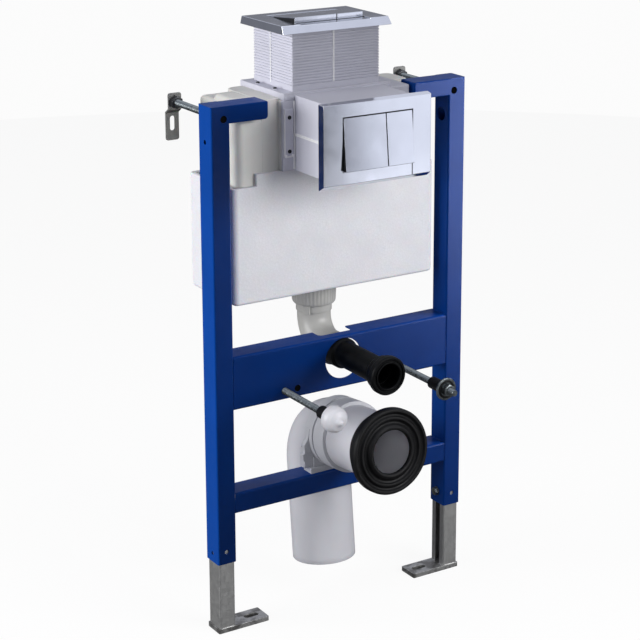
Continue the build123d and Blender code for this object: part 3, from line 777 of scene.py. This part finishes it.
def flanges_and_shafts():
    """Maintenance shafts, flanges and screws"""
    keep_node("top_flange", "flange", 1.0)
    apron = Stock()  # runs the front shaft's top on to the foot of the top shaft
    apron.prism([(12.5, 896.0), (12.5, 901.4), (20.9, 905.4), (20.9, 896.0)], -101.0, 101.0, ALONG_X)
    piece("shaft_apron", apron, "shaft", edge=0.3)
    keep_node("front_flange", "shaft", 0.8)
    ribbed = Stock()
    (front, back), (low, high) = TOP_SHAFT_Y, TOP_SHAFT_Z

    def wall(inset, z):
        x, y0, y1 = SHAFT_X - inset, front + inset, back - inset
        return level(rounded([(-x, y0), (x, y0), (x, y1), (-x, y1)], max(2.4 - inset, 0.8), 3), z)

    rings = [wall(0.0, low + 0.1), wall(0.0, low + 9.0)]
    z = low + 9.5
    while z < high - 4:
        rings += [wall(0.0, z), wall(GROOVE_DEEP, z + GROOVE_FLANK),
                  wall(GROOVE_DEEP, z + GROOVE_WIDE - GROOVE_FLANK), wall(0.0, z + GROOVE_WIDE)]
        z += RIB_PITCH
    rings += [wall(0.0, high), wall(SHAFT_WALL, high), wall(SHAFT_WALL, low + 0.1)]
    ribbed.skin(rings, loop=True)
    for x in (-SHAFT_X, SHAFT_X - SHAFT_WALL):  # cheeks that carry the plate
        ribbed.block((x + 0.1, x + 2.9), (front + 13, back - 12), (high - 0.5, high + PLATE_DEEP - 3.2))
    piece("ribbed_shaft", ribbed, "shaft", replaces="top_shaft", sharp=25)
    keep_node("front_shaft", "shaft", 0.7)
    trim = Stock()
    for s in (-1, 1):
        x = s * (SHAFT_X + 0.1)
        trim.block((x - 1.8, x + 1.8), (FRONT_SHAFT_Y[0] + 3, FRONT_SHAFT_Y[1] - 4), (834.6, 838.8))
        trim.block((x - 0.2, x + 0.2), (88.9, 91.3), (low + 5, high - 1))
        # upright ribs of the front flange, beside the shaft and along the edge of its tab
        trim.block(sorted((s * 84.4, s * 87.0)), (11.4, 14.2), (779, 892))
        trim.block(sorted((s * 103.2, s * 104.3)), (10.9, 14.2), (803, 879))
        # lip below the lower screw of the front strip
        lip = [(88.5, 0), (103.5, 0), (103.5, 5), (100.5, 5), (100.5, 2.6), (91.5, 2.6), (91.5, 5), (88.5, 5)]
        trim.prism(rounded([(s * x, y) for x, y in lip], 0.6, 2), -14.0, -9.8, facing(0, 800.0))
    trim.block((-6.8, -3.8), (front - 0.7, front + 1.2), (low + 10, high - 1))
    # the trim wears a paler copy of the shaft plastic, a painted highlight along the seams, ribs and lip
    piece("shaft_seams", trim, "seam", edge=0.25)
    screws, bosses = Stock(), Stock()

    def fasten(where, sunk, high):
        screw(screws, where @ place(0, 0, sunk))
        bosses.turned(rounded([(2.0, 0.0), (5.4, 0.0), (5.0, high), (2.0, high)], 0.3, 2), where, 32)

    for s in (-1, 1):
        for y in (57.0, 113.0):
            fasten(place(s * 95.0, y, TOP_SHAFT_Z[0]), 0.9, 1.0)
        for z in (866.0, 810.0):
            fasten(facing(s * 96.0, z, FRONT_SHAFT_Y[1] - 2.5), 0.8, 0.9)
    piece("flange_screws", screws, "dark", sharp=40)
    piece("screw_bosses", bosses, "shaft", sharp=40)


def flush_plates():
    """Chrome plates and their buttons"""
    near, face = BTN_FAR - BTN_LEN, PLATE_DEEP + BTN_PROUD
    # black wedge below, chrome skin 1.3 to 1.5 mm thick on its face and finger edge
    wedge = [(BTN_FAR, PLATE_DEEP - 1.5), (near + 1.2, face - 1.5), (near + 1.2, PLATE_DEEP - 9.0),
             (BTN_FAR, PLATE_DEEP - 6.0)]
    skin = rounded([(BTN_FAR - 1.3, PLATE_DEEP - 0.3), (near, face), (near, PLATE_DEEP - 1.0),
                    (near + 1.3, PLATE_DEEP - 1.0), (near + 1.3, face - 1.5),
                    (BTN_FAR - 1.3, PLATE_DEEP - 1.6)],
                   [0.3, 0.9, 0.2, 0, 0.3, 0.2], 3)
    for side, where in (("top", ON_TOP), ("front", ON_FRONT)):
        keep_node(side + "_plate", "chrome", 0.5)
        lie = where @ ALONG_X
        for size, (low, high) in BUTTON_SPANS.items():
            name = f"{side}_{size}_button"
            button = Stock()
            button.prism(wedge, low + 0.25, high - 0.25, lie, 1)
            # the gap to the plate shows wider than the gap between the two buttons
            left, right = (0.9, 0.4) if size == "large" else (0.4, 0.9)
            button.prism(skin, low + left, high - right, lie)
            piece(name + "_cap", button, ("chrome", "black"), name, name, edge=0.35, sharp=40)


def flush_pipework():
    """Outlet nut, elbow, flush pipe and collar"""
    nut = Stock()
    top = JACKET_LOW + 8
    ribs, steps, rib_high = 36, 36 * 6, 0.45
    wall = [(31.2, top - 49, 0.0), (35.0, top - 49, 0.0), (36.5, top - 47, 0.0), (37.2, top - 44.5, 0.9),
            (37.8, top - 30, 1.0), (38.2, top - 12, 0.9), (38.9, top - 9.5, 0.0), (38.9, top - 0.4, 0.0),
            (31.2, top - 0.4, 0.0)]
    rings = []
    for r, z, ribbed in wall:
        ring = []
        for t in angles(steps):
            wavy = r + rib_high * ribbed * math.cos(ribs * t)
            ring.append((wavy * math.cos(t), wavy * math.sin(t), z))
        rings.append(ring)
    nut.skin(rings, place(0, OUTLET_Y, 0), loop=True)
    piece("outlet_ring_nut", nut, "fitting", replaces="outlet_nut", sharp=35)

    bend = Stock()
    where = place(0, OUTLET_Y, FLUSH_Z)
    radius = 46
    centre = [(0.0, 65.0 - 3 * i) for i in range(6)]
    centre += [(-radius + radius * math.cos(a), radius - radius * math.sin(a))
               for a in (math.radians(6 * i) for i in range(16))]
    centre += [(-50.0 - 5 * i, 0.0) for i in range(3)] + [(-65.0, 0.0)]
    bend.pipe(centre, [29.0] * len(centre), 26.0, where, 56)
    bend.turned(rounded([(26.2, 505), (30.6, 505), (30.9, 508), (30.9, 567.5), (26.2, 567.5)], 0.6, 2),
                place(0, OUTLET_Y, 0), 56)
    bend.block((-6, 6), (-33.2, -29.0), (503.5 - FLUSH_Z, 520 - FLUSH_Z), where @ turned_by(-55, "Z"))
    piece("flush_elbow", bend, "fitting", replaces="flush_bend", sharp=35)

    front = facing(0, FLUSH_Z)
    turned_piece("flush_tube", [(20, -30), (26.4, -30), (26.4, 3), (22.4, 6.4), (22.4, 112), (20, 112)],
                 [0.4, 0.6, 1.0, 1.2, 0.2, 0.2], 3, front, 72, "pe", replaces="flush_pipe")
    turned_piece("flush_cuff",
                 [(21, 112.2), (27.2, 112.2), (28.8, 114.8), (28.9, 123.6), (31.2, 125.6), (32.9, 128.2),
                  (32.9, 136.8), (31.2, 139.6), (27.8, 139.6), (27.0, 137.4), (24.8, 137.4), (24.0, 139.9),
                  (22.0, 139.9), (21.0, 138.6)],
                 [0, 0.5, 1, 1, 1, 1, 1, 1, 0.4, 0.4, 0.4, 0.5, 0.4, 0.4], 3, front, 80, "pe",
                 replaces="flush_collar", sharp=40)


def soil_pipework():
    """Soil bend, clip, spigot and rubber seal"""
    bend = Stock()
    centre = [(0.0, -SOIL_DOWN), (0.0, -SOIL_DOWN + 1.5)]
    centre += [(0.0, -SOIL_DOWN + 10 + 15 * i) for i in range(11)]
    centre += [(-SOIL_BEND_R + SOIL_BEND_R * math.cos(a), -SOIL_BEND_R + SOIL_BEND_R * math.sin(a))
               for a in (math.radians(4.5 * i) for i in range(21))]
    centre += [(-80.0, 0.0), (-92.0, 0.0), (-101.5, 0.0), (-103.0, 0.0)]
    outer = [SOIL_R - 1.2, SOIL_R - 0.1] + [SOIL_R] * (len(centre) - 3) + [SOIL_R - 0.8]
    bend.pipe(centre, outer, SOIL_R - SOIL_T, SOIL, 72)
    piece("soil_elbow", bend, "pipe", replaces="soil_bend", sharp=40)

    arm = SOIL @ FRONTWARD
    turned_piece("spigot_pipe", [(51, 103.4), (54.6, 103.4), (55, 105), (55, 231), (54, 233), (51, 233)],
                 0.4, 2, arm, 80, "pipe", replaces="pan_spigot")
    lips = [(55.1, 205), (61.0, 205), (63.0, 209.6), (65.0, 218.4), (69.8, 222.2), (72.4, 226),
            (72.4, 235.4), (70.2, 238.8), (66.2, 238.8), (64.2, 236.0), (61.8, 234.6), (59.6, 236.0),
            (57.6, 238.8), (54.2, 238.8), (52.2, 236.0), (49.6, 234.6), (47.0, 236.0), (45.0, 239.4),
            (41.4, 241.8), (38.0, 241.4), (36.6, 239.6), (36.6, 234.3), (44.0, 233.5), (55.1, 233.4)]
    turned_piece("waste_seal_ring", lips, 0.8, 2, arm, 112, "rubber", replaces="pan_seal", sharp=50)

    keep_node("pipe_clip", "clip", 0.9)
    strap = Stock()
    strap.prism(rounded([(-69, 284), (-59, 284), (-57.5, 300), (-55.5, 322), (-59.5, 324), (-63, 306),
                         (-70, 296)], 1.5, 3), 13.0, 22.0, ALONG_Y)
    strap.prism(rounded([(-73.5, 268), (-69, 268), (-69, 284), (-74.5, 280)], 1.0, 3), 10.0, 20.0, ALONG_Y)
    piece("clip_strap", strap, "clip", edge=0.7)


def pan_studs():
    """Pan studs with sleeves, cap, washer and nut"""
    pitch = sizes().thread_pitch / MM
    # how far the stud's tip and the sleeve's two ends stand in front of the bar
    for (side, s), (tip, nose, back) in zip(SIDES, ((151.0, 146.0, 115.0), (163.0, 135.0, 97.0))):
        where = facing(s * STUD_X, STUD_Z)
        rod = Stock()
        rod.thread(ROD_R, -16.0, tip, where, pitch)
        rod.hexagon(M12_FLATS, -12.5, -2.6, where, 5.0)
        piece(side + "_stud_rod", rod, "zinc", replaces=side + "_stud", sharp=50)
        turned_piece(side + "_rubber_sleeve",
                     [(6.0, back), (9.7, back), (10.5, back + 1.2), (10.5, nose - 1.2), (9.7, nose),
                      (6.0, nose)], 0.5, 2, where, 40, "rubber", replaces=side + "_stud_sleeve", sharp=40)
    turned_piece("white_stud_cap",
                 [(6.0, 146.2), (20.2, 146.2), (21.9, 148.8), (21.9, 156), (20.3, 162.2), (15.9, 168),
                  (8.8, 171.6), (6.2, 174), (3.2, 178.6), (0, 179.8), (0, 151.6), (6.0, 151.6)],
                 [0.2, 1.2, 1.4, 3, 4, 4, 2, 2, 1, 0, 0, 0], 4, facing(-STUD_X, STUD_Z), 64, "pipe",
                 replaces="left_stud_cap", sharp=50)
    right = facing(STUD_X, STUD_Z)
    turned_piece("stud_plate_washer", [(6.0, 135.2), (19.3, 135.2), (19.3, 138.4), (6.0, 138.4)], 0.5, 2,
                 right, 56, "zinc", replaces="right_stud_washer", sharp=40)
    nut = Stock()
    nut.hexagon(M12_FLATS, 138.5, 149.0, right, ROD_R)
    nut.turned(rounded([(12.0, 138.45), (15.6, 138.45), (15.6, 139.6), (12.0, 139.6)], 0.4, 2), right, 48,
               material=1)
    piece("stud_hexagon_nut", nut, ("zinc", "rubber"), replaces="right_stud_nut", sharp=30)


# ---- studio ----
# Camera fitted to the edges of the frame: place in the floor frame, turn in degrees, lens and shift.
CAMERA_AT = Vector((-1644.8, -2598.9, 1510.2))
CAMERA_YAW, CAMERA_PITCH, CAMERA_ROLL = 33.3222, 14.2178, -0.2094
CAMERA_LENS, CAMERA_SHIFT = 108.2199, (-0.0870, -0.19926)

# Strength of the air for diffuse rays, of what mirrors see low and high and between which heights they
# change over, and of what the camera sees: the air, the paper's own glow and its answer to light.
AIR, MIRROR_LOW, MIRROR_HIGH, MIRROR_SPAN = 0.18, 0.24, 0.95, (0.18, 0.42)
SEEN_AIR, SEEN_GLOW, SEEN_VEIL = 0.97, 0.92, 0.08
FLOOR_R = 4200.0
# Lamps: place and aim in the floor frame, size in metres, watts, tint, the pieces that it lights, its kind.
LAMPS = (
    ("key_left", (-3300, 500, 1300), (0, 60, 480), (2.2, 2.0), 110.0, "FFFFFF", "unpainted", ""),
    ("key_left_paint", (-3300, 500, 1300), (0, 60, 480), (2.2, 2.0), 158.0, "FFFFFF", "painted", "matt"),
    ("top_soft", (200, -300, 3600), (0, 60, 480), (2.4, 2.4), 15.0, "FFFFFF", None, ""),
    ("front_fill", (1400, -2900, 1500), (0, 60, 480), (2.2, 2.2), 100.0, "FFFFFF", "bodies", ""),
    ("shaft_fill", (900, -3000, 1700), (0, 60, 480), (2.2, 2.2), 28.0, "FFFFFF", "shafts", ""),
    ("pipe_fill", (-1500, -2600, 1500), (0, 0, 300), (1.0, 1.0), 16.0, "FFFFFF", "pipes", "matt"),
    ("right_glow", (900, -500, 950), (220, 0, 700), (0.5, 0.5), 9.5, "F4F6FF", "painted", "matt"),
    ("paint_card", (1330, -950, 560), (228, 0, 600), (0.8, 0.9), 46.0, "F4F6FF", "painted", "mirror"),
    ("plate_card", (1990, -1900, 700), (0, -100, 840), (1.6, 1.6), 8.6, "F0F3FF", "plated", "mirror"),
)
# Which pieces each group of lamps lights, by the finishes that a piece wears.
SHAFT_LIKE = {"shaft", "flange", "seam"}
LIT = {
    "painted": lambda keys: "paint" in keys, "unpainted": lambda keys: "paint" not in keys,
    "plated": lambda keys: "chrome" in keys, "shafts": lambda keys: SHAFT_LIKE & keys,
    "pipes": lambda keys: "pipe" in keys,
    "bodies": lambda keys: not ({"paint", "chrome"} | SHAFT_LIKE) & keys,
}


def wearing(name, chosen):
    """Collection of the pieces whose finishes satisfy chosen."""
    group = bpy.data.collections.new(name)
    keys_of = {material: key for key, material in MATERIALS.items()}
    for thing in bpy.context.scene.objects:
        if thing.type == "MESH" and chosen({keys_of.get(slot.material) for slot in thing.material_slots}):
            group.objects.link(thing)
    return group


def stand_camera(scene):
    camera = linked("camera", bpy.data.cameras.new("camera"))
    camera.matrix_world = Matrix.Translation(TO_ROW @ CAMERA_AT) @ turned_by(-CAMERA_YAW, "Z") \
        @ turned_by(90 - CAMERA_PITCH, "X") @ turned_by(-CAMERA_ROLL, "Z")
    camera.data.lens = CAMERA_LENS
    camera.data.shift_x, camera.data.shift_y = CAMERA_SHIFT
    camera.data.clip_start, camera.data.clip_end = 0.05, 60.0
    scene.camera = camera


def lay_paper():
    # White paper: the camera sees it lit almost evenly, so that it meets the air without a line.
    paper, tree, bsdf = surface("studio_paper_white", (0.2, 0.2, 0.21), 0.9, Specular_IOR_Level=0.05)
    fibres = grain(tree, 0.004, 3.0)
    relief(tree, bsdf, [(fibres, 0.0002, 0.05)])
    glow = add(tree, "ShaderNodeEmission", {"Color": (*finishes().paper, 1.0), "Strength": SEEN_GLOW})
    veil = add(tree, "ShaderNodeBsdfDiffuse", {"Color": (SEEN_VEIL, SEEN_VEIL, SEEN_VEIL, 1.0)})
    seen = add(tree, "ShaderNodeAddShader", links={0: glow.outputs[0], 1: veil.outputs[0]})
    both = by_ray(tree, "Is Camera Ray", bsdf, seen)
    tree.links.new(both.outputs[0], tree.nodes["Material Output"].inputs["Surface"])
    floor = Stock()
    floor.prism(circle(FLOOR_R, 64), -30.0, -0.2)
    settled("studio_floor", floor.mesh, [paper])


def fill_air(scene):
    # Air: white to the camera, soft for diffuse rays, and for mirrors bright above and dim at eye level.
    scene.world = bpy.data.worlds.new("studio_air")
    scene.world.use_nodes = True
    tree = scene.world.node_tree
    tree.nodes.clear()
    where = add(tree, "ShaderNodeTexCoord")
    split = add(tree, "ShaderNodeSeparateXYZ", links={0: where.outputs["Generated"]})
    height = ranged(tree, split.outputs["Z"], MIRROR_SPAN, MIRROR_LOW, MIRROR_HIGH)
    mirror = add(tree, "ShaderNodeBackground", {"Color": (*linear("EEF1FF"), 1.0)}, {"Strength": height})
    air = add(tree, "ShaderNodeBackground", {"Color": (*linear("EEF1FA"), 1.0), "Strength": AIR})
    white = add(tree, "ShaderNodeBackground", {"Color": (1.0, 1.0, 1.0, 1.0), "Strength": SEEN_AIR})
    both = by_ray(tree, "Is Camera Ray", by_ray(tree, "Is Glossy Ray", air, mirror), white)
    add(tree, "ShaderNodeOutputWorld", links={"Surface": both.outputs[0]})


def hang_lamps():
    groups = {name: wearing(name + "_pieces", chosen) for name, chosen in LIT.items()}
    for name, where, aim, size, power, tint, only, kind in LAMPS:
        lamp = bpy.data.lights.new(name, "AREA")
        lamp.shape = "RECTANGLE"
        lamp.size, lamp.size_y = size
        lamp.energy = power
        lamp.color = linear(tint)
        thing = linked(name, lamp)
        spot, target = TO_ROW @ Vector(where), TO_ROW @ Vector(aim)
        thing.location = spot
        thing.rotation_euler = (target - spot).to_track_quat("-Z", "Y").to_euler()
        thing.visible_camera = False
        thing.visible_diffuse = kind != "mirror"
        thing.visible_glossy = kind != "matt"
        if only:
            thing.light_linking.receiver_collection = groups[only]


def studio():
    """Camera, white paper floor, air and lamps"""
    scene = bpy.context.scene
    scene.view_settings.view_transform = "Standard"
    stand_camera(scene)
    lay_paper()
    fill_air(scene)
    hang_lamps()


# ---- operators and panel ----
def operator(work):
    """An operator class that runs one builder and takes its name and text."""
    def execute(self, context):
        work()
        return {"FINISHED"}
    name = work.__name__
    return type("TOILETFRAME_OT_" + name, (bpy.types.Operator,),
                {"bl_idname": "toilet_frame." + name, "bl_label": name.replace("_", " ").capitalize(),
                 "__doc__": work.__doc__, "execute": execute})


OPERATORS = [operator(work) for work in (
    steel_frame, wall_ties, legs, cistern, flanges_and_shafts, flush_plates, flush_pipework, soil_pipework,
    pan_studs, studio)]


class TOILETFRAME_PT_panel(bpy.types.Panel):
    """Finishes, sizes and pieces of the toilet frame."""
    bl_idname = "TOILETFRAME_PT_panel"
    bl_label = "Toilet Frame"
    bl_space_type = "VIEW_3D"
    bl_region_type = "UI"
    bl_category = "Toilet Frame"

    def draw(self, context):
        for group in (context.scene.toilet_frame_finishes, context.scene.toilet_frame_sizes):
            box = self.layout.box()
            for key in group.__annotations__:
                box.prop(group, key)
        for made in OPERATORS:
            self.layout.operator(made.bl_idname)


CLASSES = [FrameFinishes, FrameSizes, *OPERATORS, TOILETFRAME_PT_panel]


def register():
    for made in CLASSES:
        bpy.utils.register_class(made)
    bpy.types.Scene.toilet_frame_finishes = PointerProperty(type=FrameFinishes)
    bpy.types.Scene.toilet_frame_sizes = PointerProperty(type=FrameSizes)


def unregister():
    del bpy.types.Scene.toilet_frame_sizes
    del bpy.types.Scene.toilet_frame_finishes
    for made in reversed(CLASSES):
        bpy.utils.unregister_class(made)


def main():
    register()
    for made in OPERATORS:
        group, name = made.bl_idname.split(".")
        getattr(getattr(bpy.ops, group), name)()


if __name__ == "__main__":
    main()
